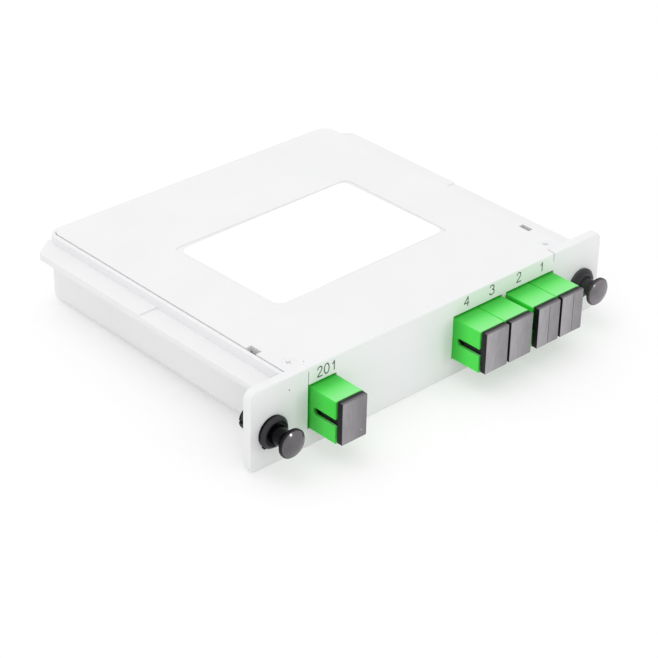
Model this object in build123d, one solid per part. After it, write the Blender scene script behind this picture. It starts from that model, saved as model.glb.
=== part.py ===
from build123d import *
import math
import os

# Plug-in fibre splitter box: a moulded tray with a front panel, a screwed cover,
# five adapters with dust caps, two push-pull fasteners, and the splitter inside.
# Millimetres. While it is drawn, X runs along the panel, the panel's front face
# is Y = 0 with the box behind it (+Y), and the panel's lower edge is Z = 0.

# Front panel
panel_width = 130.0
panel_thickness = 2.4
panel_corner_radius = 2.5
panel_edge_radius = 0.5

# Box behind the panel
body_depth = 101.0
ear_reach = 12.4
body_bottom = 2.8
body_corner_radius = 4.0
bottom_edge_radius = 2.5
rim_edge_radius = 0.3
wall = 2.2
floor_thickness = 1.6
foot_sink = 0.5

# Side rails
rail_reach = 6.3
rail_drop = 3.1
rail_thickness = 1.5
rail_step_y = 51.7
rail_step_height = 0.4
rail_rear_inset = 0.8
rail_end_taper = 4.6
rail_corner_radius = 1.6

# Cover
cover_thickness = 1.8
cover_rise = 0.3
cover_ledge = 1.1
cover_gap = 0.2
seam_gap = 0.35
seam_lip = 1.4
seam_open_height = 2.6
recess_width = 65.0
recess_length = 42.0
recess_depth = 0.4
recess_front_y = 28.0
recess_corner_radius = 2.0
tongue_width = 8.0
tongue_reach = 1.0
tongue_root = 3.0
tongue_thickness = 1.2
tongue_x = 30.0
close_fit = 0.1
tight_fit = 0.03
join_overlap = 0.2

# Label
label_side_margin = 1.2
label_end_margin = 0.75
label_thickness = 0.12
label_corner_radius = 3.0
label_angle = 1.3
label_shift_x = 0.4

# Cover screws
screw_y = 5.2
screw_head_diameter = 4.0
screw_sink_diameter = 4.4
screw_diameter = 2.0
screw_length = 12.0
screw_cross_width = 0.5
screw_cross_length = 1.8
screw_cross_depth = 0.35
screw_cross_turn = 20.0
pilot_end_room = 1.0
boss_diameter = 4.4
boss_clear = 0.15
pilot_diameter = 1.9

# Snap latches: each hooks under a nib of the tray's wall, below a slot in the cover
slot_front_y = 13.3
slot_length = 4.0
slot_width = 1.9
latch_thickness = 1.2
latch_drop = 6.0
hook_reach = 0.7
hook_height = 0.9
hook_fit = 0.2
nib_reach = 0.75
nib_height = 1.0

# Adapters
adapter_width = 9.2
adapter_height = 12.6
adapter_length = 27.4
adapter_front_reach = 9.8
adapter_edge_radius = 0.35
adapter_gap = 0.1
adapter_side_room = 7.45
adapter_top_gap = 0.45
head_room = 2.9
pair_gap = 1.55
port_width = 7.6
port_height = 10.9
port_corner_radius = 0.5
keyway_width = 2.1
keyway_length = 8.1
flange_reach = 1.1
flange_thickness = 1.8
flange_fit = 0.2
rib_thickness = 1.4
rear_rib_inset = 3.0

# Holder and sleeve inside each adapter
holder_plate = 1.6
holder_tube_diameter = 4.8
holder_tube_reach = 8.0
arm_width = 3.0
arm_thickness = 0.8
arm_clearance = 0.1
sleeve_diameter = 3.2
sleeve_length = 11.4
sleeve_slit = 0.35
sleeve_fit = 0.1
ferrule_diameter = 2.48
ferrule_fit = 0.02
ferrule_length = 10.5

# Dust caps
cap_side_inset = 0.35
cap_bottom_inset = 0.35
cap_top_rise = 0.1
cap_plate_thickness = 1.75
cap_neck_length = 0.45
cap_plug_depth = 6.3
cap_bore_diameter = 5.6
cap_bore_floor = 1.0
cap_corner_radius = 0.3
cap_edge_radius = 0.2

# Connectors and boots behind the adapters
plug_fit = 0.2
plug_end_gap = 0.3
grip_width = 7.4
grip_height = 9.0
grip_start = 0.3
grip_length = 9.2
grip_ribs = 4
grip_rib_width = 0.9
grip_rib_depth = 0.35
grip_edge_radius = 0.6
boot_length = 11.0
boot_root_diameter = 5.0
boot_tip_diameter = 2.4
boot_root_length = 2.0

# Fibre leads
fibre_diameter = 0.9
fibre_bore_diameter = 1.1
fibre_gap = 0.1
feed_drop = 1.15
out_turn_radius = 11.0
in_turn_radius = 13.0
bundle_side_room = 4.4
feed_side_room = 1.4
peel_share = 0.7
lead_straight = 2.0
lead_drop_length = 6.0
drop_radius = 9.0
turn_slack = 0.05

# Splitter
splitter_depth = 4.0
splitter_height = 7.0
splitter_rear_room = 7.8
splitter_end_room = 1.5
splitter_plug_length = 4.0
splitter_plug_inset = 0.5
splitter_edge_radius = 0.5
splitter_wall = 0.3
saddle_inset = 10.0
saddle_width = 6.0
saddle_wall = 1.5
saddle_fit = 0.1
saddle_rise = 1.0

# Fibre guides moulded in the tray
guide_wall = 1.2
guide_fit = 0.15
guide_tab_length = 4.0
guide_tab_thickness = 1.0
guide_tab_fit = 0.2
post_x = (-27.0, -12.0)
post_length = 6.0

# Panel fasteners
fastener_inset = 7.5
fastener_z = 10.1
ear_hole_fit = 0.15
collar_diameter = 9.2
collar_reach = 1.9
collar_rim = 1.0
collar_edge = 0.2
collar_lip_diameter = 6.2
collar_bulge = 0.22
collar_hole_diameter = 5.4
collar_hole_floor = 0.6
gate_radius = 0.4
gate_angle = 228.0
grommet_shank_diameter = 6.2
grommet_barb_diameter = 6.8
grommet_barb_length = 1.5
grommet_barb_rise = 0.5
grommet_reach = 9.4
grommet_tip_diameter = 5.4
grommet_taper = 0.5
grommet_slit = 0.8
knob_diameter = 8.2
knob_front_reach = 7.8
knob_dome = 0.85
knob_rim = 0.9
knob_edge = 0.3
knob_rim_step = 0.4
knob_flare = 2.0
knob_flare_hollow = 0.25
knob_neck_diameter = 5.0
knob_foot_gap = 0.3
knob_left_pull = 1.0
pin_diameter = 3.0
pin_fit = 0.25
pin_end_inset = 1.0

# Places worked out from the sizes above
body_half = panel_width / 2 - ear_reach
inner_half = body_half - wall
inner_rear_y = body_depth - wall
floor_top = body_bottom + floor_thickness
rib_foot = floor_top - foot_sink
adapter_bottom = floor_top + flange_reach + close_fit
adapter_top = adapter_bottom + adapter_height
cover_bottom = adapter_top + flange_reach + head_room
panel_height = cover_bottom + cover_thickness
rim_top = panel_height - cover_rise
rail_top = panel_height - rail_drop
rail_outer = body_half + rail_reach
rail_root_y = body_depth - rail_rear_inset
cover_half = body_half - cover_ledge - cover_gap
cover_rear_y = body_depth - cover_ledge - cover_gap
slot_inner = cover_half - slot_width
outer_adapter_reach = body_half - adapter_side_room
apron_half = outer_adapter_reach + close_fit
ear_inner = apron_half + seam_gap
sill_top = adapter_bottom - close_fit
apron_bottom = adapter_top + adapter_top_gap
screw_x = apron_half + boss_clear + boss_diameter / 2
flange_front_y = panel_thickness + flange_fit
flange_rear_y = flange_front_y + flange_thickness
rib_front_y = flange_rear_y + close_fit
adapter_rear_y = adapter_length - adapter_front_reach
adapter_middle_y = adapter_rear_y - adapter_length / 2
adapter_middle_z = adapter_bottom + adapter_height / 2
connector_rear_y = adapter_rear_y + grip_start + grip_length
boot_rear_y = connector_rear_y + boot_length
cap_front_reach = adapter_front_reach + cap_neck_length + cap_plate_thickness
splitter_y = inner_rear_y - splitter_rear_room
bundle_y = splitter_y - 2 * out_turn_radius
feed_run_y = splitter_y - 2 * in_turn_radius
bundle_turn_x = bundle_side_room - inner_half
feed_turn_x = inner_half - feed_side_room
splitter_left = bundle_turn_x + out_turn_radius + splitter_plug_length + splitter_end_room
splitter_right = feed_turn_x - in_turn_radius - splitter_plug_length - splitter_end_room
fastener_x = panel_width / 2 - fastener_inset
fibre_pitch = fibre_diameter + fibre_gap
output_ports = ["out_4", "out_3", "out_2", "out_1"]
output_count = len(output_ports)
lowest_output = adapter_middle_z - (output_count - 1) * fibre_pitch / 2
output_levels = [lowest_output + number * fibre_pitch for number in range(output_count)]
feed_level = output_levels[0] - feed_drop
guide_top = output_levels[-1] + fibre_diameter / 2 + guide_tab_fit + guide_tab_thickness
footprint_middle_y = (body_depth - cap_front_reach) / 2
half_slot = adapter_width / 2
adapter_pitch = adapter_width + adapter_gap
port_x = {
    "in": -outer_adapter_reach + half_slot,
    "out_4": outer_adapter_reach - half_slot - 3 * adapter_pitch - pair_gap,
    "out_3": outer_adapter_reach - half_slot - 2 * adapter_pitch - pair_gap,
    "out_2": outer_adapter_reach - half_slot - adapter_pitch,
    "out_1": outer_adapter_reach - half_slot,
}


def block(x0, x1, y0, y1, z0, z1):
    size = (x1 - x0, y1 - y0, z1 - z0)
    middle = ((x0 + x1) / 2, (y0 + y1) / 2, (z0 + z1) / 2)
    return Pos(*middle) * Box(*size)


def rod_y(radius, y0, y1, x=0.0, z=0.0):
    return Pos(x, (y0 + y1) / 2, z) * Rot(90, 0, 0) * Cylinder(radius, y1 - y0)


def rod_z(radius, z0, z1, x=0.0, y=0.0):
    return Pos(x, y, (z0 + z1) / 2) * Cylinder(radius, z1 - z0)


def mirrored(shape):
    return mirror(shape, about=Plane.YZ)


def turned_y(outline):
    # Turns a closed outline of (radius, y) points about the Y axis.
    return revolve(make_face(outline), axis=Axis.Y)


def front_panel():
    plate = block(-panel_width / 2, panel_width / 2, 0, panel_thickness, 0, panel_height)
    plate = fillet(plate.edges().filter_by(Axis.Y), panel_corner_radius)
    front_edges = plate.faces().sort_by(Axis.Y)[0].edges()
    plate = fillet(front_edges, panel_edge_radius)
    for side in (-1, 1):
        hole_radius = grommet_shank_diameter / 2 + ear_hole_fit
        plate -= rod_y(hole_radius, -1, panel_thickness + 1, side * fastener_x, fastener_z)
    return plate


def side_rail():
    outline = Polyline(
        (body_half - wall / 2, panel_thickness / 2),
        (rail_outer, panel_thickness / 2),
        (rail_outer, rail_root_y - rail_end_taper),
        (body_half, rail_root_y),
        (body_half - wall / 2, rail_root_y),
        close=True,
    )
    flat = make_face(outline)
    rear_corner = flat.vertices().group_by(Axis.X)[-1].sort_by(Axis.Y)[-1]
    flat = fillet(rear_corner, rail_corner_radius)
    rail = Pos(0, 0, rail_top - rail_thickness) * extrude(flat, rail_thickness + rail_step_height)
    return rail - block(0, rail_outer + 1, 0, rail_step_y, rail_top, rail_top + 1)


def tray_shell():
    shell = block(-body_half, body_half, panel_thickness / 2, body_depth, body_bottom, rim_top)
    shell = fillet(shell.edges().filter_by(Axis.Z).sort_by(Axis.Y)[-2:], body_corner_radius)
    under = shell.faces().sort_by(Axis.Z)[0]
    shell = fillet(under.edges().sort_by(Axis.Y)[1:], bottom_edge_radius)
    rim = shell.faces().sort_by(Axis.Z)[-1]
    shell = fillet(rim.edges().sort_by(Axis.Y)[1:], rim_edge_radius)
    hollow = block(-inner_half, inner_half, panel_thickness, inner_rear_y, floor_top, panel_height + 1)
    hollow = fillet(hollow.edges().filter_by(Axis.Z).sort_by(Axis.Y)[-2:], body_corner_radius - wall)
    seat_half = body_half - cover_ledge
    seat_rear = body_depth - cover_ledge
    seat = block(-seat_half, seat_half, panel_thickness, seat_rear, cover_bottom, panel_height + 1)
    seat_corners = seat.edges().filter_by(Axis.Z).sort_by(Axis.Y)[-2:]
    seat = fillet(seat_corners, body_corner_radius - cover_ledge)
    return shell - hollow - seat


def screw_boss():
    boss = rod_z(boss_diameter / 2, rib_foot, cover_bottom, screw_x, screw_y)
    web_half = boss_diameter / 4
    web_y = (screw_y - web_half, screw_y + web_half)
    boss += block(screw_x, inner_half + foot_sink, web_y[0], web_y[1], rib_foot, cover_bottom)
    return boss


def hook_top():
    return cover_bottom - latch_drop + hook_height


def catch_nib():
    bottom = hook_top() + hook_fit
    y0 = slot_front_y + cover_gap
    y1 = slot_front_y + slot_length - cover_gap
    return block(inner_half - nib_reach, inner_half + foot_sink, y0, y1, bottom, bottom + nib_height)


def slot_pocket():
    # Lets the slot in the cover reach down past the wall's ledge to the nib.
    bottom = hook_top() + hook_fit + nib_height
    outer = body_half - cover_ledge
    return block(inner_half - 1, outer, slot_front_y, slot_front_y + slot_length, bottom, panel_height)


def adapter_ribs():
    rear_rib_y = adapter_rear_y - rear_rib_inset
    ribs = block(-ear_inner, ear_inner, rib_front_y, rib_front_y + rib_thickness, rib_foot, sill_top)
    ribs += block(-ear_inner, ear_inner, rear_rib_y, rear_rib_y + rib_thickness, rib_foot, sill_top)
    return ribs


def splitter_saddle(x):
    half_depth = splitter_depth / 2 + saddle_fit
    underside = adapter_middle_z - splitter_height / 2
    x0 = x - saddle_width / 2
    x1 = x + saddle_width / 2
    y0 = splitter_y - half_depth
    y1 = splitter_y + half_depth
    saddle_top = adapter_middle_z + saddle_rise
    saddle = block(x0, x1, y0 - saddle_wall, y1 + saddle_wall, rib_foot, saddle_top)
    return saddle - block(x0 - 1, x1 + 1, y0, y1, underside, panel_height)


def turn_guide(turn_x, radius, side):
    # A half ring that keeps the leads from bending tighter than their turn.
    outer = radius - fibre_diameter / 2 - guide_fit
    x = turn_x - side * radius
    y = splitter_y - radius
    ring = rod_z(outer, rib_foot, guide_top, x, y)
    ring -= rod_z(outer - guide_wall, floor_top - 1, guide_top + 1, x, y)
    keep_x = sorted((x + side * radius / 4, x + side * radius * 2))
    ring &= block(keep_x[0], keep_x[1], y - radius, y + radius, 0, panel_height)
    tab_inner = x + side * (outer - guide_wall / 2)
    tab_outer = x + side * (outer + 2 * fibre_diameter)
    tab_half = guide_tab_length / 2
    tab_x = sorted((tab_inner, tab_outer))
    tab_bottom = guide_top - guide_tab_thickness
    ring += block(tab_x[0], tab_x[1], y - tab_half, y + tab_half, tab_bottom, guide_top)
    return ring


def guide_post(x):
    y = (bundle_y + feed_run_y) / 2
    x0 = x - post_length / 2
    x1 = x + post_length / 2
    post = block(x0, x1, y - guide_wall / 2, y + guide_wall / 2, rib_foot, guide_top)
    tab_reach = (bundle_y - feed_run_y) / 2 + fibre_diameter
    post += block(x0, x1, y - tab_reach, y + tab_reach, guide_top - guide_tab_thickness, guide_top)
    return post


def base_tray():
    tray = tray_shell() + front_panel()
    tray -= block(-ear_inner, ear_inner, -1, panel_thickness, sill_top, panel_height + 1)
    rail = side_rail()
    tray += rail
    tray += mirrored(rail)
    boss = screw_boss()
    tray += boss
    tray += mirrored(boss)
    pocket = slot_pocket()
    tray -= pocket
    tray -= mirrored(pocket)
    nib = catch_nib()
    tray += nib
    tray += mirrored(nib)
    tray += adapter_ribs()
    tray += splitter_saddle(splitter_left + saddle_inset)
    tray += splitter_saddle(splitter_right - saddle_inset)
    for x in post_x:
        tray += guide_post(x)
    tray += turn_guide(bundle_turn_x, out_turn_radius, -1)
    tray += turn_guide(feed_turn_x, in_turn_radius, 1)
    for side in (-1, 1):
        pilot_bottom = cover_bottom - screw_length
        tray -= rod_z(pilot_diameter / 2, pilot_bottom, panel_height, side * screw_x, screw_y)
        tray -= tongue_slot(side)
    return tray


def tongue_slot(side):
    half = tongue_width / 2 + cover_gap
    z1 = cover_bottom + cover_gap
    z0 = cover_bottom - tongue_thickness - cover_gap
    x = side * tongue_x
    rear = cover_rear_y + cover_gap + tongue_reach / 2
    return block(x - half, x + half, inner_rear_y - 1, rear, z0, z1)


def cover_tongue(side):
    half = tongue_width / 2
    x = side * tongue_x
    front = inner_rear_y - tongue_root
    rear = cover_rear_y - cover_ledge + cover_gap + tongue_reach
    z0 = cover_bottom - tongue_thickness
    return block(x - half, x + half, front, rear, z0, cover_bottom + join_overlap)


def cover_apron():
    # The seam to the ear is closed at its top on the left, and at its foot on the right.
    apron = block(-apron_half, apron_half, 0, panel_thickness, apron_bottom, panel_height)
    apron += block(-apron_half, apron_half, 0, panel_thickness + 1, cover_bottom, panel_height)
    lip_half = ear_inner - tight_fit
    seam_bottom = panel_height - seam_open_height
    apron += block(-lip_half, 0, 0, panel_thickness, panel_height - seam_lip, panel_height)
    apron += block(0, lip_half, 0, panel_thickness, apron_bottom, seam_bottom)
    left_bay = (port_x["in"] + half_slot, port_x["out_4"] - half_slot)
    middle_bay = (port_x["out_3"] + half_slot, port_x["out_2"] - half_slot)
    for x0, x1 in (left_bay, middle_bay):
        apron += block(x0 + close_fit, x1 - close_fit, 0, panel_thickness, sill_top, panel_height)
    top_front = apron.edges().filter_by(Axis.X).group_by(Axis.Z)[-1].sort_by(Axis.Y)[0]
    return fillet(top_front, panel_edge_radius)


def screw_sink(side):
    depth = (screw_sink_diameter - screw_diameter) / 2
    x = side * screw_x
    cone = Cone(screw_diameter / 2, screw_sink_diameter / 2, depth)
    hole = rod_z(screw_diameter / 2 + close_fit, cover_bottom - 1, panel_height, x, screw_y)
    return Pos(x, screw_y, panel_height - depth / 2) * cone + hole


def cover_latch():
    bottom = cover_bottom - latch_drop
    y0 = slot_front_y + cover_gap
    y1 = slot_front_y + slot_length - cover_gap
    latch = block(slot_inner - latch_thickness, slot_inner, y0, y1, bottom, cover_bottom + join_overlap)
    latch += block(slot_inner - join_overlap, slot_inner + hook_reach, y0, y1, bottom, hook_top())
    return latch


def top_cover():
    rear_of_panel = panel_thickness + tight_fit
    plate = block(-cover_half, cover_half, rear_of_panel, cover_rear_y, cover_bottom, panel_height)
    rear_corners = plate.edges().filter_by(Axis.Z).sort_by(Axis.Y)[-2:]
    plate = fillet(rear_corners, body_corner_radius - cover_ledge - cover_gap)
    cover = plate + cover_apron()
    rib_rear = rib_front_y + rib_thickness
    rib_top = cover_bottom + join_overlap
    cover += block(-apron_half, apron_half, rib_front_y, rib_rear, apron_bottom, rib_top)
    cover += cover_tongue(-1)
    cover += cover_tongue(1)
    recess_half = recess_width / 2
    recess_floor = panel_height - recess_depth
    recess_rear_y = recess_front_y + recess_length
    recess = block(-recess_half, recess_half, recess_front_y, recess_rear_y, recess_floor, panel_height + 1)
    cover -= fillet(recess.edges().filter_by(Axis.Z), recess_corner_radius)
    for side in (-1, 1):
        cover -= screw_sink(side)
        slot_x = sorted((side * slot_inner, side * (cover_half + 1)))
        slot_y = (slot_front_y, slot_front_y + slot_length)
        cover -= block(slot_x[0], slot_x[1], slot_y[0], slot_y[1], cover_bottom - 1, panel_height + 1)
    latch = cover_latch()
    cover += latch
    cover += mirrored(latch)
    return cover


def cover_label():
    width = recess_width - 2 * label_side_margin
    length = recess_length - 2 * label_end_margin
    sheet = extrude(RectangleRounded(width, length, label_corner_radius), label_thickness)
    middle_y = recess_front_y + recess_length / 2
    return Pos(label_shift_x, middle_y, panel_height - recess_depth) * Rot(0, 0, label_angle) * sheet


def cover_screw(side):
    head_height = (screw_head_diameter - screw_diameter) / 2
    head_top = panel_height - (screw_sink_diameter - screw_head_diameter) / 2
    head_middle = head_top - head_height / 2
    head = Cone(screw_diameter / 2, screw_head_diameter / 2, head_height)
    shank_bottom = cover_bottom - screw_length + pilot_end_room
    shank = rod_z(pilot_diameter / 2, shank_bottom, head_middle)
    screw = Pos(0, 0, head_middle) * head + shank
    for turn in (0, 90):
        arm = Box(screw_cross_length, screw_cross_width, screw_cross_depth * 2)
        screw -= Pos(0, 0, head_top) * Rot(0, 0, screw_cross_turn + turn) * arm
    return Pos(side * screw_x, screw_y, 0) * screw


def adapter_housing():
    y0 = -adapter_front_reach
    y1 = adapter_rear_y
    half_width = adapter_width / 2
    half_height = adapter_height / 2
    body = block(-half_width, half_width, y0, y1, -half_height, half_height)
    body = fillet(body.edges().filter_by(Axis.Y), adapter_edge_radius)
    flange_half = half_height + flange_reach
    body += block(-half_width, half_width, flange_front_y, flange_rear_y, -flange_half, flange_half)
    port = block(-port_width / 2, port_width / 2, y0 - 1, y1 + 1, -port_height / 2, port_height / 2)
    body -= fillet(port.edges().filter_by(Axis.Y), port_corner_radius)
    keyway_radius = keyway_width / 2
    for mouth_y, end_y in ((y0, y0 + keyway_length), (y1, y1 - keyway_length)):
        way = 1 if end_y > mouth_y else -1
        centre_y = end_y - way * keyway_radius
        slot_y = sorted((mouth_y - way, centre_y))
        cut = block(-half_width - 1, -half_width / 2, slot_y[0], slot_y[1], -keyway_radius, keyway_radius)
        round_end = Pos(-half_width, centre_y, 0) * Rot(0, 90, 0) * Cylinder(keyway_radius, half_width)
        body -= cut
        body -= round_end
    return body


def adapter_holder():
    half_width = port_width / 2 - close_fit / 2
    half_height = port_height / 2 - close_fit / 2
    mid = adapter_middle_y
    y0 = mid - holder_plate / 2
    y1 = mid + holder_plate / 2
    plate = block(-half_width, half_width, y0, y1, -half_height, half_height)
    holder = fillet(plate.edges().filter_by(Axis.Y), port_corner_radius)
    holder += rod_y(holder_tube_diameter / 2, mid - holder_tube_reach, mid + holder_tube_reach)
    arm_top = port_height / 2 - arm_clearance
    for side in (-1, 1):
        arm_z = sorted((side * arm_top, side * (arm_top - arm_thickness)))
        arm_y0 = mid - holder_tube_reach
        arm_y1 = mid + holder_tube_reach
        holder += block(-arm_width / 2, arm_width / 2, arm_y0, arm_y1, arm_z[0], arm_z[1])
    bore = sleeve_diameter / 2 + sleeve_fit
    return holder - rod_y(bore, mid - adapter_length, mid + adapter_length)


def split_sleeve():
    mid = adapter_middle_y
    inner = ferrule_diameter / 2 + ferrule_fit / 2
    sleeve = rod_y(sleeve_diameter / 2, mid - sleeve_length / 2, mid + sleeve_length / 2)
    sleeve -= rod_y(inner, mid - sleeve_length, mid + sleeve_length)
    slit_half = sleeve_slit / 2
    return sleeve - block(-slit_half, slit_half, mid - sleeve_length, mid + sleeve_length, 0, sleeve_diameter)


def plug_half_sizes():
    width = port_width / 2 - plug_fit
    height = port_height / 2 - arm_clearance - arm_thickness - plug_fit
    return width, height


def dust_cap():
    plate_half = adapter_width / 2 - cap_side_inset
    plate_bottom = cap_bottom_inset - adapter_height / 2
    plate_top = adapter_height / 2 + cap_top_rise
    y0 = -cap_front_reach
    y1 = -adapter_front_reach - cap_neck_length
    plate = block(-plate_half, plate_half, y0, y1, plate_bottom, plate_top)
    plate = fillet(plate.edges().filter_by(Axis.Y), cap_corner_radius)
    plate = fillet(plate.faces().sort_by(Axis.Y)[0].edges(), cap_edge_radius)
    plug_width, plug_height = plug_half_sizes()
    plug_rear = cap_plug_depth - adapter_front_reach
    plug = block(-plug_width, plug_width, y1 - join_overlap, plug_rear, -plug_height, plug_height)
    cap = plate + fillet(plug.edges().filter_by(Axis.Y), port_corner_radius)
    return cap - rod_y(cap_bore_diameter / 2, y0 + cap_bore_floor, plug_rear + 1)


def rear_connector():
    plug_width, plug_height = plug_half_sizes()
    grip_y = adapter_rear_y + grip_start
    nose_rear = grip_y + join_overlap
    nose_front = adapter_middle_y + holder_plate / 2 + plug_end_gap
    nose = block(-plug_width, plug_width, nose_front, nose_rear, -plug_height, plug_height)
    mouth_rear = adapter_middle_y + holder_tube_reach + plug_fit
    nose -= rod_y(holder_tube_diameter / 2 + plug_fit, 0, mouth_rear)
    ferrule_end = adapter_middle_y + ferrule_length + ferrule_fit
    grip_half = grip_width / 2
    grip_top = grip_height / 2
    grip = block(-grip_half, grip_half, grip_y, connector_rear_y, -grip_top, grip_top)
    grip = fillet(grip.edges().filter_by(Axis.Y), grip_edge_radius)
    rib_pitch = grip_length / (grip_ribs + 1)
    for number in range(grip_ribs):
        y0 = grip_y + rib_pitch * (number + 1) - grip_rib_width / 2
        for side in (-1, 1):
            x = sorted((side * (grip_half - grip_rib_depth), side * (grip_half + 1)))
            grip -= block(x[0], x[1], y0, y0 + grip_rib_width, -grip_top, grip_top)
    connector = nose + grip
    connector -= rod_y(ferrule_diameter / 2 + ferrule_fit / 2, 0, ferrule_end)
    return connector


def ferrule():
    start = adapter_middle_y + ferrule_fit
    return rod_y(ferrule_diameter / 2, start, start + ferrule_length)


def lead_boot():
    root = boot_root_diameter / 2
    tip = boot_tip_diameter / 2
    bore = fibre_bore_diameter / 2
    y0 = connector_rear_y
    y1 = boot_rear_y
    root_end = y0 + boot_root_length
    outline = Polyline((bore, y0), (root, y0), (root, root_end), (tip, y1), (bore, y1), close=True)
    return turned_y(outline)


def lead(points, radii):
    path = FilletPolyline(*points, radius=radii)
    first = Vector(*points[1]) - Vector(*points[0])
    section = Plane(origin=points[0], z_dir=first) * Circle(fibre_diameter / 2)
    return sweep(section, path=path)


def boot_exit(x, level):
    # The straight start of a lead and its change of height behind the boot.
    start = (x, connector_rear_y + join_overlap, adapter_middle_z)
    straight = (x, boot_rear_y + lead_straight, adapter_middle_z)
    settled = (x, boot_rear_y + lead_straight + lead_drop_length, level)
    return [start, straight, settled]


def output_lead(port, level):
    x = port_x[port]
    points = boot_exit(x, level)
    peel_radius = peel_share * (bundle_y - points[-1][1])
    points.append((x, bundle_y, level))
    points.append((bundle_turn_x, bundle_y, level))
    points.append((bundle_turn_x, splitter_y, level))
    points.append((splitter_left - splitter_plug_length + splitter_plug_inset, splitter_y, level))
    turn = out_turn_radius - turn_slack
    return lead(points, [drop_radius, drop_radius, peel_radius, turn, turn])


def input_lead():
    x = port_x["in"]
    points = boot_exit(x, feed_level)
    peel_radius = peel_share * (feed_run_y - points[-1][1])
    points.append((x, feed_run_y, feed_level))
    points.append((feed_turn_x, feed_run_y, feed_level))
    points.append((feed_turn_x, splitter_y, feed_level))
    points.append((splitter_right + splitter_plug_length - splitter_plug_inset, splitter_y, feed_level))
    turn = in_turn_radius - turn_slack
    return lead(points, [drop_radius, drop_radius, peel_radius, turn, turn])


def splitter_tube():
    half_depth = splitter_depth / 2
    z0 = adapter_middle_z - splitter_height / 2
    z1 = adapter_middle_z + splitter_height / 2
    y0 = splitter_y - half_depth
    y1 = splitter_y + half_depth
    tube = block(splitter_left, splitter_right, y0, y1, z0, z1)
    return fillet(tube.edges().filter_by(Axis.X), splitter_edge_radius)


def splitter_plug(x0, x1, levels):
    half_depth = splitter_depth / 2 - splitter_wall
    z0 = adapter_middle_z - splitter_height / 2 + splitter_wall
    z1 = adapter_middle_z + splitter_height / 2 - splitter_wall
    plug = block(x0, x1, splitter_y - half_depth, splitter_y + half_depth, z0, z1)
    for level in levels:
        plug -= Pos(0, splitter_y, level) * Rot(0, 90, 0) * Cylinder(fibre_diameter / 2, panel_width)
    return plug


def grommet():
    collar = collar_diameter / 2
    lip = collar_lip_diameter / 2
    hole = collar_hole_diameter / 2
    shank = grommet_shank_diameter / 2
    barb = grommet_barb_diameter / 2
    tip = grommet_tip_diameter / 2
    bore = pin_diameter / 2 + pin_fit
    dome = SagittaArc((collar - collar_edge, -collar_rim), (lip, -collar_reach), collar_bulge)
    rest = Polyline(
        (lip, -collar_reach),
        (hole, -collar_reach),
        (hole, -collar_hole_floor),
        (bore, -collar_hole_floor),
        (bore, grommet_reach),
        (tip, grommet_reach),
        (barb, grommet_reach - grommet_taper),
        (barb, grommet_reach - grommet_barb_length + grommet_barb_rise),
        (shank, grommet_reach - grommet_barb_length),
        (shank, 0),
        (collar, 0),
        (collar, collar_edge - collar_rim),
        (collar - collar_edge, -collar_rim),
    )
    body = turned_y([dome, rest])
    for turn in (0, 90):
        slit_half = grommet_slit / 2
        slit = block(-slit_half, slit_half, panel_thickness, grommet_reach + 1, -collar, collar)
        body -= Rot(0, turn, 0) * slit
    gate_x = collar * math.cos(math.radians(gate_angle))
    gate_z = collar * math.sin(math.radians(gate_angle))
    return body + rod_y(gate_radius, collar_edge - collar_rim, 0, gate_x, gate_z)


def plunger(pull):
    knob = knob_diameter / 2
    neck = knob_neck_diameter / 2
    pin = pin_diameter / 2
    front = -knob_front_reach
    foot = -collar_hole_floor - knob_foot_gap
    rim_front = front + knob_dome
    rim_rear = rim_front + knob_rim
    dome_edge = knob - knob_edge
    dome_radius = (dome_edge ** 2 + knob_dome ** 2) / (2 * knob_dome)
    dome_angle = math.asin(dome_edge / dome_radius) / 2
    dome_mid = (dome_radius * math.sin(dome_angle), front + dome_radius * (1 - math.cos(dome_angle)))
    dome = ThreePointArc((0, front), dome_mid, (dome_edge, rim_front))
    rim = Polyline(
        (dome_edge, rim_front),
        (knob, rim_front + knob_edge),
        (knob, rim_rear),
        (knob - knob_rim_step, rim_rear + knob_edge),
    )
    flare_start = (knob - knob_rim_step, rim_rear + knob_edge)
    flare = SagittaArc(flare_start, (neck, rim_rear + knob_flare), knob_flare_hollow)
    stem = Polyline(
        (neck, rim_rear + knob_flare),
        (neck, foot),
        (pin, foot),
        (pin, grommet_reach - pin_end_inset),
        (0, grommet_reach - pin_end_inset),
        (0, front),
    )
    return Pos(0, -pull, 0) * turned_y([dome, rim, flare, stem])


parts = {
    "base_tray": base_tray(),
    "top_cover": top_cover(),
    "cover_label": cover_label(),
    "splitter_tube": splitter_tube(),
    "lead_in": input_lead(),
}
plug_out_x = (splitter_left - splitter_plug_length, splitter_left)
plug_in_x = (splitter_right, splitter_right + splitter_plug_length)
parts["splitter_plug_out"] = splitter_plug(plug_out_x[0], plug_out_x[1], output_levels)
parts["splitter_plug_in"] = splitter_plug(plug_in_x[0], plug_in_x[1], [feed_level])
for port, level in zip(output_ports, output_levels):
    parts["lead_" + port] = output_lead(port, level)
for name, side, pull in (("left", -1, knob_left_pull), ("right", 1, 0)):
    fastener_place = Pos(side * fastener_x, 0, fastener_z)
    parts["cover_screw_" + name] = cover_screw(side)
    parts["grommet_" + name] = fastener_place * grommet()
    parts["plunger_" + name] = fastener_place * plunger(pull)
port_pieces = {
    "adapter": adapter_housing(),
    "holder": adapter_holder(),
    "sleeve": split_sleeve(),
    "dust_cap": dust_cap(),
    "connector": rear_connector(),
    "ferrule": ferrule(),
    "boot": lead_boot(),
}
for port, x in port_x.items():
    for piece, shape in port_pieces.items():
        parts[piece + "_" + port] = Pos(x, 0, adapter_middle_z) * shape

os.makedirs("parts", exist_ok=True)
for name, shape in parts.items():
    export_step(Pos(0, -footprint_middle_y, 0) * shape, "parts/" + name + ".step")
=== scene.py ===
import math

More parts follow.
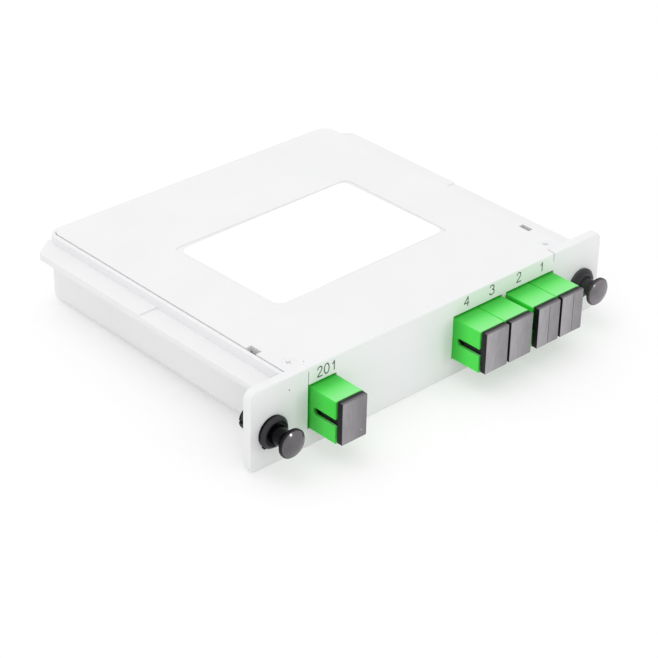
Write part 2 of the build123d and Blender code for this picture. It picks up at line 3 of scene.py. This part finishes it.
import bpy
from mathutils import Matrix, Vector


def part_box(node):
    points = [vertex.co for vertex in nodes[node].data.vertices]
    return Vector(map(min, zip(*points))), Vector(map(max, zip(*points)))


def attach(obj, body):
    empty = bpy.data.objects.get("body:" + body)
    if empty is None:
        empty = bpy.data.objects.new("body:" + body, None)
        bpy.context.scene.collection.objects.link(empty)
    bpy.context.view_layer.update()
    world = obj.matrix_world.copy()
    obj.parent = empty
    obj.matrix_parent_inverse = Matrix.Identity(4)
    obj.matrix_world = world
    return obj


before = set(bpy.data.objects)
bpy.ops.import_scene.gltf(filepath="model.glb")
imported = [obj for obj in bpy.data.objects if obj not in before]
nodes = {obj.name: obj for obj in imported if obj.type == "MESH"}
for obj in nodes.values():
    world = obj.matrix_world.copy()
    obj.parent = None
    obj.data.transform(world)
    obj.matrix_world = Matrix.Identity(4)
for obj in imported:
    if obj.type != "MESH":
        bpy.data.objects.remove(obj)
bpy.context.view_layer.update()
MM = 0.001

# Tray and cover. Two injection mouldings in white ABS with a fine satin grain from the
# spark-eroded mould. The tray is floor, walls, ears and rails in one piece, and the
# cover drops between the ears with its apron around the adapters.
WHITE = (0.868, 0.868, 0.876)
WHITE_DEEP = (0.850, 0.851, 0.860)
WHITE_ROUGHNESS = 0.42
WHITE_GRAIN = 0.0015 * MM
GRAIN_SIZE = 0.09 * MM
FLOW_SCALE = 45
ROUGHNESS_EITHER_WAY = 0.05
NOISE_FOR_TONES = (0.35, 0.65)
NOISE_FOR_ROUGHNESS = (0.3, 0.7)


def new_finish(name):
    material = bpy.data.materials.new(name)
    material.use_nodes = True
    tree = material.node_tree
    place = tree.nodes.new("ShaderNodeTexCoord")
    return material, tree, tree.nodes["Principled BSDF"], place.outputs["Object"]


def cloud(tree, place, scale, detail, stretch=(1, 1, 1)):
    """Noise with so many swells to the metre."""
    mapping = tree.nodes.new("ShaderNodeMapping")
    mapping.inputs["Scale"].default_value = stretch
    tree.links.new(place, mapping.inputs["Vector"])
    texture = tree.nodes.new("ShaderNodeTexNoise")
    texture.inputs["Scale"].default_value = scale
    texture.inputs["Detail"].default_value = detail
    tree.links.new(mapping.outputs["Vector"], texture.inputs["Vector"])
    return texture.outputs["Fac"]


def two_tones(tree, factor, first, second):
    ramp = tree.nodes.new("ShaderNodeValToRGB")
    for stop, position, colour in zip(ramp.color_ramp.elements, NOISE_FOR_TONES, (first, second)):
        stop.position = position
        stop.color = (*colour, 1)
    tree.links.new(factor, ramp.inputs["Fac"])
    return ramp.outputs["Color"]


def surface(tree, shader, factor, roughness, depth):
    """Lets one noise vary the roughness and raise the grain."""
    spread = tree.nodes.new("ShaderNodeMapRange")
    spread.inputs["From Min"].default_value = NOISE_FOR_ROUGHNESS[0]
    spread.inputs["From Max"].default_value = NOISE_FOR_ROUGHNESS[1]
    spread.inputs["To Min"].default_value = roughness[0]
    spread.inputs["To Max"].default_value = roughness[1]
    tree.links.new(factor, spread.inputs["Value"])
    tree.links.new(spread.outputs["Result"], shader.inputs["Roughness"])
    bump = tree.nodes.new("ShaderNodeBump")
    bump.inputs["Strength"].default_value = 1.0
    bump.inputs["Distance"].default_value = depth
    tree.links.new(factor, bump.inputs["Height"])
    tree.links.new(bump.outputs["Normal"], shader.inputs["Normal"])


def wear_finish(node, material):
    nodes[node].data.materials.clear()
    nodes[node].data.materials.append(material)


def moulded_plastic(name, light, deep, rough, depth):
    material, tree, shader, place = new_finish(name)
    flow = cloud(tree, place, FLOW_SCALE, detail=4)
    tree.links.new(two_tones(tree, flow, deep, light), shader.inputs["Base Color"])
    fine = cloud(tree, place, 1 / GRAIN_SIZE, detail=2)
    surface(tree, shader, fine, (rough - ROUGHNESS_EITHER_WAY, rough + ROUGHNESS_EITHER_WAY), depth)
    return material


white_moulding = moulded_plastic("white satin moulding", WHITE, WHITE_DEEP, WHITE_ROUGHNESS, WHITE_GRAIN)
for node in ("base_tray", "top_cover"):
    wear_finish(node, white_moulding)

# Port numbers. Thin grey figures, pad printed on the apron above each adapter with a
# fine round pen, the ink a few hundredths of a millimetre proud of the plastic.
INK = (0.060, 0.062, 0.068)
INK_PALER = 1.7
INK_ROUGHNESS = 0.5
INK_PATCH_SCALE = 2600
INK_PROUD = 0.03 * MM
PEN_WIDTH = 0.36 * MM
FIGURE_PITCH = 2.3 * MM
OVAL_POINTS = 12
# In millimetres from the middle of a figure's foot: the points that the pen runs through,
# or the middle, half width and half height of an oval.
FIGURE_STROKES = {
    "0": [("OVAL", (0, 1.43), 0.82, 1.43)],
    "1": [
        ("AUTO", (-0.42, 1.95), (0.05, 2.25), (0.3, 2.85)),
        ("VECTOR", (0.3, 2.85), (0.3, 0)),
    ],
    "2": [
        ("AUTO", (-0.85, 2.15), (-0.45, 2.72), (0.1, 2.85), (0.62, 2.45), (0.55, 1.75),
         (-0.1, 0.95), (-0.85, 0)),
        ("VECTOR", (-0.85, 0), (0.9, 0)),
    ],
    "3": [
        ("AUTO", (-0.85, 2.25), (-0.45, 2.75), (0.1, 2.85), (0.65, 2.45), (0.6, 1.85), (0.05, 1.55)),
        ("AUTO", (0.05, 1.55), (0.7, 1.25), (0.85, 0.65), (0.45, 0.1), (-0.3, 0), (-0.95, 0.65)),
    ],
    "4": [
        ("VECTOR", (0.45, 0), (0.45, 2.85)),
        ("VECTOR", (0.45, 2.85), (-0.95, 0.95)),
        ("VECTOR", (-0.95, 0.95), (0.9, 0.95)),
    ],
}
FIGURES = {"in": "201", "out_4": "4", "out_3": "3", "out_2": "2", "out_1": "1"}
FIGURE_SHIFT = {
    "in": 1.25 * MM,
    "out_4": 0.1 * MM,
    "out_3": 0.5 * MM,
    "out_2": 0.2 * MM,
    "out_1": -0.1 * MM,
}
FIGURE_FOOT = {
    "in": 19.75 * MM,
    "out_4": 20.1 * MM,
    "out_3": 20.1 * MM,
    "out_2": 20.1 * MM,
    "out_1": 20.0 * MM,
}
PORTS = list(FIGURES)
apron_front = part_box("top_cover")[0].y

ink_finish, tree, shader, place = new_finish("printed grey ink")
patchy = cloud(tree, place, INK_PATCH_SCALE, detail=3)
tree.links.new(two_tones(tree, patchy, INK, [v * INK_PALER for v in INK]), shader.inputs["Base Color"])
shader.inputs["Roughness"].default_value = INK_ROUGHNESS


def oval(middle, half_width, half_height):
    turns = [2 * math.pi * number / OVAL_POINTS for number in range(OVAL_POINTS)]
    return [(middle[0] + half_width * math.sin(t), middle[1] + half_height * math.cos(t)) for t in turns]


def draw_stroke(curve, stroke, shift):
    closed = stroke[0] == "OVAL"
    points = oval(*stroke[1:]) if closed else stroke[1:]
    spline = curve.splines.new("BEZIER")
    spline.bezier_points.add(len(points) - 1)
    spline.use_cyclic_u = closed
    for knot, (x, z) in zip(spline.bezier_points, points):
        knot.co = (x * MM + shift, 0, z * MM)
        knot.handle_left_type = "AUTO" if closed else stroke[0]
        knot.handle_right_type = "AUTO" if closed else stroke[0]


def mesh_of_curve(curve):
    drawn = bpy.data.objects.new(curve.name, curve)
    bpy.context.scene.collection.objects.link(drawn)
    bpy.context.view_layer.update()
    mesh = bpy.data.meshes.new_from_object(drawn.evaluated_get(bpy.context.evaluated_depsgraph_get()))
    bpy.data.objects.remove(drawn)
    return mesh


def printed_figures(name, text, middle_x, foot_z):
    curve = bpy.data.curves.new(name, "CURVE")
    curve.dimensions = "3D"
    curve.bevel_depth = PEN_WIDTH / 2
    curve.use_fill_caps = True
    for number, figure in enumerate(text):
        for stroke in FIGURE_STROKES[figure]:
            draw_stroke(curve, stroke, (number - (len(text) - 1) / 2) * FIGURE_PITCH)
    mesh = mesh_of_curve(curve)
    flatten = INK_PROUD / (PEN_WIDTH / 2)
    for v in mesh.vertices:
        v.co = (middle_x + v.co.x, apron_front + v.co.y * flatten, foot_z + v.co.z)
    mesh.materials.clear()
    mesh.materials.append(ink_finish)
    figures = bpy.data.objects.new(name, mesh)
    bpy.context.scene.collection.objects.link(figures)
    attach(figures, "box")


for port, text in FIGURES.items():
    low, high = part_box("adapter_" + port)
    printed_figures("figures_" + port, text, (low.x + high.x) / 2 + FIGURE_SHIFT[port], FIGURE_FOOT[port])

# Specks. A dark fleck and a pale one left in the moulding, and the small pip of an
# ejector pin on the cover, none of them more than half a millimetre across.
DARK_FLECK = (0.10, 0.10, 0.10)
PALE_FLECK = (0.55, 0.54, 0.53)
FLECK_ROUGHNESS = 0.6
FLECK_PROUD = 0.03 * MM
cover_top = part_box("top_cover")[1].z
cap_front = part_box("dust_cap_in")[0].y
EAR_FLECK_PLACE = (-51.9 * MM, apron_front, 19.9 * MM)
EAR_FLECK_WIDTH = 0.42 * MM
PIP_PLACE = (-44.6 * MM, apron_front + 2.9 * MM, cover_top)
PIP_WIDTH = 0.5 * MM
CAP_FLECK_PLACE = (-38.1 * MM, cap_front, 8.2 * MM)
CAP_FLECK_WIDTH = 0.4 * MM


def plain_finish(name, colour, rough):
    material, tree, shader, place = new_finish(name)
    shader.inputs["Base Color"].default_value = (*colour, 1)
    shader.inputs["Roughness"].default_value = rough
    return material


def fleck(name, place, width, finish, body, flat_side="Y"):
    bpy.ops.mesh.primitive_uv_sphere_add(segments=16, ring_count=8, radius=width / 2)
    speck = bpy.context.object
    speck.name = name
    flatten = FLECK_PROUD / (width / 2)
    for v in speck.data.vertices:
        if flat_side == "Y":
            v.co.y *= flatten
        else:
            v.co.z *= flatten
        v.co += Vector(place)
    speck.data.materials.append(finish)
    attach(speck, body)


dark_fleck = plain_finish("dark fleck", DARK_FLECK, FLECK_ROUGHNESS)
pale_fleck = plain_finish("pale fleck", PALE_FLECK, FLECK_ROUGHNESS)
fleck("fleck_on_ear", EAR_FLECK_PLACE, EAR_FLECK_WIDTH, dark_fleck, "box")
fleck("pip_on_cover", PIP_PLACE, PIP_WIDTH, pale_fleck, "box", "Z")
fleck("fleck_on_cap", CAP_FLECK_PLACE, CAP_FLECK_WIDTH, pale_fleck, "dust_cap_in_body")

# Label. A blank white film sticker in the cover's recess, smoother and whiter than the
# plastic around it, stuck a little askew.
FILM_WHITE = (0.98, 0.98, 0.98)
FILM_WHITE_DEEP = (0.965, 0.965, 0.965)
FILM_ROUGHNESS = (0.5, 0.62)
FILM_SCALE = 900
FILM_GRAIN = 0.002 * MM
label_finish, tree, shader, place = new_finish("blank label film")
fibres = cloud(tree, place, FILM_SCALE, detail=4)
tree.links.new(two_tones(tree, fibres, FILM_WHITE_DEEP, FILM_WHITE), shader.inputs["Base Color"])
surface(tree, shader, fibres, FILM_ROUGHNESS, FILM_GRAIN)
wear_finish("cover_label", label_finish)

# Cover screws. Small countersunk cross-recess screws, bright zinc plated, one at each
# front corner of the cover.
ZINC = (0.93, 0.93, 0.94)
ZINC_DEEP = (0.84, 0.85, 0.86)
ZINC_ROUGHNESS = (0.22, 0.36)
ZINC_SCALE = 5000
ZINC_GRAIN = 0.002 * MM


def bare_metal(name, light, deep, roughness, scale, depth, stretch=(1, 1, 1)):
    material, tree, shader, place = new_finish(name)
    lines = cloud(tree, place, scale, detail=3, stretch=stretch)
    tree.links.new(two_tones(tree, lines, deep, light), shader.inputs["Base Color"])
    shader.inputs["Metallic"].default_value = 1.0
    surface(tree, shader, lines, roughness, depth)
    return material


screw_finish = bare_metal("bright zinc plate", ZINC, ZINC_DEEP, ZINC_ROUGHNESS, ZINC_SCALE, ZINC_GRAIN)
for node in ("cover_screw_left", "cover_screw_right"):
    wear_finish(node, screw_finish)

# Push-pull fasteners. A black nylon socket snapped into each ear and a knob on a pin
# that spreads its legs, both glossy. The knobs' front faces carry a painted sheen in mottled
# grey and the sockets' rounded front edges a painted highlight, all paler toward the right end of the row
# with painted light.
NYLON = (0.003, 0.003, 0.004)
NYLON_PAINTED_LIGHT_RIGHT = (0.045, 0.043, 0.047)
SOCKET_PAINTED_LIGHT_RIGHT = (0.085, 0.080, 0.088)
SOCKET_EDGE_PAINTED_HIGHLIGHT = (0.045, 0.043, 0.048)
SOCKET_EDGE_SIDE_SLOPE = (-0.15, -0.4)
SOCKET_EDGE_FRONT_SLOPE = (-0.98, -0.85)
KNOB_PAINTED_SHEEN = (0.170, 0.150, 0.172)
KNOB_PAINTED_SHEEN_DEEP = (0.115, 0.100, 0.114)
KNOB_PAINTED_SHEEN_SLOPE = (-0.55, -0.95)
KNOB_PAINTED_SHADE = (0.5, 1.0)
SHEEN_MOTTLE_SCALE = 260
NYLON_SHEEN = 0.10
KNOB_SHEEN = 0.9
KNOB_SHEEN_SLOPE = (-0.75, -0.92)
NYLON_ROUGHNESS = (0.13, 0.20)
NYLON_SCALE = 11000
NYLON_GRAIN = 0.0008 * MM
ROW_ENDS = (-30 * MM, 30 * MM)


def along(tree, vector, axis, low, high, first=0.0, last=1.0):
    """first to last as one part of a vector goes from low to high."""
    parts = tree.nodes.new("ShaderNodeSeparateXYZ")
    tree.links.new(vector, parts.inputs["Vector"])
    ramp = tree.nodes.new("ShaderNodeMapRange")
    ramp.interpolation_type = "SMOOTHSTEP"
    ramp.inputs["From Min"].default_value = low
    ramp.inputs["From Max"].default_value = high
    ramp.inputs["To Min"].default_value = first
    ramp.inputs["To Max"].default_value = last
    tree.links.new(parts.outputs[axis], ramp.inputs["Value"])
    return ramp.outputs["Result"]


def facing(tree, axis, slope, first=0.0, last=1.0):
    """first to last over a slope: how far a surface faces along an axis, -Y being the front."""
    geometry = tree.nodes.new("ShaderNodeNewGeometry")
    return along(tree, geometry.outputs["Normal"], axis, *slope, first, last)


def times(tree, first, second):
    product = tree.nodes.new("ShaderNodeMath")
    product.operation = "MULTIPLY"
    tree.links.new(first, product.inputs[0])
    tree.links.new(second, product.inputs[1])
    return product.outputs[0]


def blend(tree, factor, first, second):
    mix = tree.nodes.new("ShaderNodeMix")
    mix.data_type = "RGBA"
    tree.links.new(factor, mix.inputs["Factor"])
    for colour, socket in ((first, mix.inputs[6]), (second, mix.inputs[7])):
        if isinstance(colour, tuple):
            socket.default_value = (*colour, 1)
        else:
            tree.links.new(colour, socket)
    return mix.outputs[2]


def scaled(tree, colour, factor):
    product = tree.nodes.new("ShaderNodeVectorMath")
    product.operation = "SCALE"
    tree.links.new(colour, product.inputs[0])
    tree.links.new(factor, product.inputs["Scale"])
    return product.outputs["Vector"]


def nylon(name, lit_right):
    material, tree, shader, place = new_finish(name)
    surface(tree, shader, cloud(tree, place, NYLON_SCALE, detail=2), NYLON_ROUGHNESS, NYLON_GRAIN)
    shader.inputs["Specular IOR Level"].default_value = NYLON_SHEEN
    # Painted light: the black pales toward the right end of the row.
    black = blend(tree, along(tree, place, "X", *ROW_ENDS), NYLON, lit_right)
    return material, tree, shader, place, black


socket_finish, tree, shader, place, black = nylon("glossy black nylon", SOCKET_PAINTED_LIGHT_RIGHT)
# Painted highlight on the sockets' rounded front edges.
beyond_side = facing(tree, "Y", SOCKET_EDGE_SIDE_SLOPE)
short_of_front = facing(tree, "Y", SOCKET_EDGE_FRONT_SLOPE)
painted_edge_highlight = times(tree, beyond_side, short_of_front)
tree.links.new(blend(tree, painted_edge_highlight, black, SOCKET_EDGE_PAINTED_HIGHLIGHT), shader.inputs["Base Color"])
knob_finish, tree, shader, place, black = nylon("black nylon with painted sheen", NYLON_PAINTED_LIGHT_RIGHT)
# Painted sheen on the knobs' front faces, in mottled grey.
sheen_mottle = cloud(tree, place, SHEEN_MOTTLE_SCALE, detail=3)
painted_face_sheen = two_tones(tree, sheen_mottle, KNOB_PAINTED_SHEEN_DEEP, KNOB_PAINTED_SHEEN)
# Painted shade: the knob's sheen darker toward the left end of the row.
painted_face_sheen = scaled(tree, painted_face_sheen, along(tree, place, "X", *ROW_ENDS, *KNOB_PAINTED_SHADE))
tree.links.new(blend(tree, facing(tree, "Y", KNOB_PAINTED_SHEEN_SLOPE), black, painted_face_sheen), shader.inputs["Base Color"])
sheen = facing(tree, "Y", KNOB_SHEEN_SLOPE, NYLON_SHEEN, KNOB_SHEEN)
tree.links.new(sheen, shader.inputs["Specular IOR Level"])
for side in ("left", "right"):
    wear_finish("grommet_" + side, socket_finish)
    wear_finish("plunger_" + side, knob_finish)

# Fibre adapters. Green square housings moulded in a bright filled nylon, satin, with a
# keyway cut in the left face. Painted shade darkens the green next to the apron and underneath,
# and a painted sheen pales the tops toward the ports.
GREEN = (0.058, 0.800, 0.064)
GREEN_PAINTED_SHADE = (0.024, 0.500, 0.028)
GREEN_PAINTED_SHADE_UNDER = (0.022, 0.300, 0.025)
GREEN_PAINTED_SHEEN = (0.235, 0.860, 0.245)
GREEN_FULL_BEHIND_PORT = 3 * MM
PALE_AHEAD_OF_APRON = 2 * MM
TOP_SLOPE = (0.6, 0.95)
UNDER_SLOPE = (-0.6, -0.95)
ADAPTER_ROUGHNESS = (0.30, 0.38)
ADAPTER_SCALE = 11000
ADAPTER_GRAIN = 0.0015 * MM
port_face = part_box("adapter_in")[0].y

adapter_finish, tree, shader, place = new_finish("bright green nylon")
# Painted shade: the green is darkest next to the apron.
out_of_apron_shade = along(tree, place, "Y", apron_front, port_face + GREEN_FULL_BEHIND_PORT)
green = blend(tree, out_of_apron_shade, GREEN_PAINTED_SHADE, GREEN)
# Painted sheen on the tops, paling toward the ports.
sheen_near_port = along(tree, place, "Y", apron_front - PALE_AHEAD_OF_APRON, port_face)
painted_sheen_on_top = times(tree, facing(tree, "Z", TOP_SLOPE), sheen_near_port)
# Painted shade on the undersides.
green = blend(tree, facing(tree, "Z", UNDER_SLOPE), green, GREEN_PAINTED_SHADE_UNDER)
tree.links.new(blend(tree, painted_sheen_on_top, green, GREEN_PAINTED_SHEEN), shader.inputs["Base Color"])
surface(tree, shader, cloud(tree, place, ADAPTER_SCALE, detail=2), ADAPTER_ROUGHNESS, ADAPTER_GRAIN)
for port in PORTS:
    wear_finish("adapter_" + port, adapter_finish)

# Dust caps. Soft black plugs pushed into the adapters. Their outer faces carry a painted sheen
# in grey streaks, each face paler toward its left side and the row paler toward the right with painted
# light, their top front edges grey with painted light, and two carry an upright line from the mould.
CAP_BLACK = (0.009, 0.008, 0.010)
CAP_PAINTED_SHEEN = (0.300, 0.288, 0.304)
CAP_PAINTED_SHEEN_DEEP = (0.258, 0.246, 0.260)
CAP_TOP_PAINTED_LIGHT = (0.150, 0.140, 0.150)
CAP_TOP_SLOPE = (0.5, 0.9)
CAP_FACE_SLOPE = (-0.55, -0.97)
CAP_EDGE_START = 0.3 * MM
CAP_EDGE_END = 1.1 * MM
CAP_PAINTED_SHADE_ACROSS = (1.08, 0.72)
CAP_ROW_ENDS = (-30 * MM, 0)
CAP_PAINTED_LIGHT_ALONG_ROW = (1.0, 1.28)
CAP_ROUGHNESS = (0.42, 0.56)
CAP_SHEEN = 0.3
STREAK_SCALE = 900
STREAK_STRETCH = (1, 1, 0.25)
CAP_GRAIN = 0.004 * MM
MARK_GREY = (0.085, 0.078, 0.085)
MARK_ROUGHNESS = 0.5
MARK_WIDTH = 0.24 * MM
MARK_THICKNESS = 0.01 * MM
MARK_OF_HEIGHT = 0.92
MARK_ACROSS = {"out_2": 0.5, "out_1": 0.54}

cap_finish, tree, shader, place = new_finish("black cap with painted sheen")
# Painted sheen on the outer faces, in grey streaks.
streaks = cloud(tree, place, STREAK_SCALE, detail=4, stretch=STREAK_STRETCH)
streaked = two_tones(tree, streaks, CAP_PAINTED_SHEEN_DEEP, CAP_PAINTED_SHEEN)
whole_piece = tree.nodes.new("ShaderNodeTexCoord")
# Painted shade: each face darker toward its right side.
across = along(tree, whole_piece.outputs["Generated"], "X", 0, 1, *CAP_PAINTED_SHADE_ACROSS)
# Painted light: the row paler toward the right.
painted_light_along_row = along(tree, place, "X", *CAP_ROW_ENDS, *CAP_PAINTED_LIGHT_ALONG_ROW)
cap_face_sheen = scaled(tree, streaked, times(tree, across, painted_light_along_row))
# Painted light on the top front edges, black behind them.
near_face = along(tree, place, "Y", cap_front + CAP_EDGE_END, cap_front + CAP_EDGE_START)
top_edge_painted_light = blend(tree, times(tree, facing(tree, "Z", CAP_TOP_SLOPE), near_face), CAP_BLACK, CAP_TOP_PAINTED_LIGHT)
capped = blend(tree, facing(tree, "Y", CAP_FACE_SLOPE), top_edge_painted_light, cap_face_sheen)
tree.links.new(capped, shader.inputs["Base Color"])
surface(tree, shader, streaks, CAP_ROUGHNESS, CAP_GRAIN)
shader.inputs["Specular IOR Level"].default_value = CAP_SHEEN
for port in PORTS:
    wear_finish("dust_cap_" + port, cap_finish)

mark_finish = plain_finish("mark on a cap", MARK_GREY, MARK_ROUGHNESS)


def upright_mark(port, across):
    low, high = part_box("dust_cap_" + port)
    bpy.ops.mesh.primitive_cube_add(size=1)
    mark = bpy.context.object
    mark.name = "mark_on_cap_" + port
    middle = Vector((low.x + (high.x - low.x) * across, low.y, (low.z + high.z) / 2))
    for v in mark.data.vertices:
        v.co.x *= MARK_WIDTH
        v.co.y *= MARK_THICKNESS
        v.co.z *= (high.z - low.z) * MARK_OF_HEIGHT
        v.co += middle
    mark.data.materials.append(mark_finish)
    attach(mark, "dust_cap_" + port + "_body")


for port, across in MARK_ACROSS.items():
    upright_mark(port, across)

# Sleeve holders and ceramics. Cream holders locked inside the adapters, with a split
# zirconia sleeve in each and the ferrule of the connector behind it.
CREAM = (0.80, 0.76, 0.66)
CREAM_DEEP = (0.77, 0.73, 0.63)
ZIRCONIA = (0.90, 0.90, 0.88)
ZIRCONIA_DEEP = (0.88, 0.88, 0.86)
holder_finish = moulded_plastic("cream holder plastic", CREAM, CREAM_DEEP, rough=0.4, depth=0.001 * MM)
ceramic_finish = moulded_plastic("white zirconia", ZIRCONIA, ZIRCONIA_DEEP, rough=0.15, depth=0.0002 * MM)
for port in PORTS:
    wear_finish("holder_" + port, holder_finish)
    wear_finish("sleeve_" + port, ceramic_finish)
    wear_finish("ferrule_" + port, ceramic_finish)

# Inner connectors and leads. Green grips with soft pale boots, and the thin jacketed
# fibres that run round the tray to the splitter.
GRIP = (0.05, 0.42, 0.10)
GRIP_DEEP = (0.04, 0.38, 0.08)
BOOT = (0.78, 0.78, 0.76)
BOOT_DEEP = (0.74, 0.74, 0.72)
JACKET = (0.84, 0.84, 0.82)
JACKET_DEEP = (0.80, 0.80, 0.78)
grip_finish = moulded_plastic("green connector grip", GRIP, GRIP_DEEP, rough=0.42, depth=0.0015 * MM)
boot_finish = moulded_plastic("pale soft boot", BOOT, BOOT_DEEP, rough=0.6, depth=0.002 * MM)
lead_finish = moulded_plastic("white lead jacket", JACKET, JACKET_DEEP, rough=0.45, depth=0.001 * MM)
for port in PORTS:
    wear_finish("connector_" + port, grip_finish)
    wear_finish("boot_" + port, boot_finish)
    wear_finish("lead_" + port, lead_finish)

# Splitter. A slim aluminium tube over the splitter chip, closed by a soft plug at each
# end, held in two saddles on the tray's floor.
ALUMINIUM = (0.84, 0.84, 0.85)
ALUMINIUM_DEEP = (0.74, 0.75, 0.76)
DRAWN_ROUGHNESS = (0.28, 0.42)
DRAWN_SCALE = 1500
DRAWN_GRAIN = 0.002 * MM
DRAWN_STRETCH = (0.04, 1, 1)
tube_finish = bare_metal(
    "drawn aluminium", ALUMINIUM, ALUMINIUM_DEEP, DRAWN_ROUGHNESS, DRAWN_SCALE, DRAWN_GRAIN, DRAWN_STRETCH
)
wear_finish("splitter_tube", tube_finish)
for node in ("splitter_plug_in", "splitter_plug_out"):
    wear_finish(node, boot_finish)

# Table, backdrop and light. The box stands on its front edge and its rear bottom edge,
# so the table's plane runs through both. The table is seen as clean white, and keeps
# the box's soft shadow.
TABLE_SIZE = 4.0
TABLE_GAP = 0.02 * MM
PANEL_THICKNESS = 2.4 * MM
BODY_BOTTOM = 2.8 * MM
TABLE_WHITE = (0.90, 0.90, 0.90)
TABLE_SEEN = (0.52, 0.52, 0.52)
TABLE_GLOW = 0.48
ROOM_LIGHT = 0.93
ROOM_SEEN = 1.0
panel_foot_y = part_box("base_tray")[0].y + PANEL_THICKNESS
body_rear_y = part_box("base_tray")[1].y
slope = math.atan2(BODY_BOTTOM, body_rear_y - panel_foot_y)
bpy.ops.mesh.primitive_plane_add(size=TABLE_SIZE)
table = bpy.context.object
table.name = "table_top"
table.rotation_euler = (slope, 0, 0)
table.location = (0, 0, -panel_foot_y * math.tan(slope) - TABLE_GAP)


def seen_rays(tree):
    """1 for what the camera sees, directly, in a reflection or through glass."""
    path = tree.nodes.new("ShaderNodeLightPath")
    some = tree.nodes.new("ShaderNodeMath")
    some.operation = "MAXIMUM"
    tree.links.new(path.outputs["Is Camera Ray"], some.inputs[0])
    tree.links.new(path.outputs["Is Glossy Ray"], some.inputs[1])
    every = tree.nodes.new("ShaderNodeMath")
    every.operation = "MAXIMUM"
    tree.links.new(some.outputs[0], every.inputs[0])
    tree.links.new(path.outputs["Is Transmission Ray"], every.inputs[1])
    return every.outputs[0]


table_finish = bpy.data.materials.new("white table")
table_finish.use_nodes = True
tree = table_finish.node_tree
tree.nodes.clear()
seen = seen_rays(tree)
matt = tree.nodes.new("ShaderNodeBsdfDiffuse")
tree.links.new(blend(tree, seen, TABLE_WHITE, TABLE_SEEN), matt.inputs["Color"])
glow = tree.nodes.new("ShaderNodeEmission")
strength = tree.nodes.new("ShaderNodeMath")
strength.operation = "MULTIPLY"
strength.inputs[1].default_value = TABLE_GLOW
tree.links.new(seen, strength.inputs[0])
tree.links.new(strength.outputs[0], glow.inputs["Strength"])
both = tree.nodes.new("ShaderNodeAddShader")
tree.links.new(matt.outputs[0], both.inputs[0])
tree.links.new(glow.outputs[0], both.inputs[1])
out = tree.nodes.new("ShaderNodeOutputMaterial")
tree.links.new(both.outputs[0], out.inputs["Surface"])
table.data.materials.append(table_finish)

world = bpy.data.worlds.new("white room")
bpy.context.scene.world = world
world.use_nodes = True
tree = world.node_tree
room = tree.nodes["Background"]
room.inputs["Color"].default_value = (1, 1, 1, 1)
brightness = tree.nodes.new("ShaderNodeMapRange")
brightness.inputs["To Min"].default_value = ROOM_LIGHT
brightness.inputs["To Max"].default_value = ROOM_SEEN
tree.links.new(seen_rays(tree), brightness.inputs["Value"])
tree.links.new(brightness.outputs["Result"], room.inputs["Strength"])


def soft_box(name, place, aim, size, watts):
    lamp = bpy.data.lights.new(name, "AREA")
    lamp.shape = "SQUARE"
    lamp.size = size
    lamp.energy = watts
    holder = bpy.data.objects.new(name, lamp)
    bpy.context.scene.collection.objects.link(holder)
    holder.location = place
    holder.rotation_euler = (Vector(aim) - Vector(place)).to_track_quat("-Z", "Y").to_euler()


soft_box("overhead light", place=(-0.1, 0.2, 1.0), aim=(0, 0, 0), size=0.5, watts=1.1)
soft_box("left light", place=(-0.9, -0.4, 0.4), aim=(0, 0, 0.01), size=0.5, watts=0.5)
soft_box("front light", place=(0.30, -0.95, 0.07), aim=(0, 0, 0.01), size=0.07, watts=0.6)

# Camera. It looks down at the box's left front corner with a long lens.
LENS = 118.283
SENSOR = 36.0
NEAREST = 0.05
FARTHEST = 20
CAMERA_PLACE = (-0.35592, -0.382913, 0.309118)
CAMERA_RIGHT = Vector((0.736915, -0.675743, 0.018104))
CAMERA_UP = Vector((0.334773, 0.388084, 0.858672))
camera_data = bpy.data.cameras.new("camera")
camera_data.lens = LENS
camera_data.sensor_width = SENSOR
camera_data.clip_start = NEAREST
camera_data.clip_end = FARTHEST
camera = bpy.data.objects.new("camera", camera_data)
bpy.context.scene.collection.objects.link(camera)
stand = Matrix((CAMERA_RIGHT, CAMERA_UP, CAMERA_RIGHT.cross(CAMERA_UP))).transposed().to_4x4()
stand.translation = CAMERA_PLACE
camera.matrix_world = stand
bpy.context.scene.camera = camera
bpy.context.scene.view_settings.view_transform = "Standard"
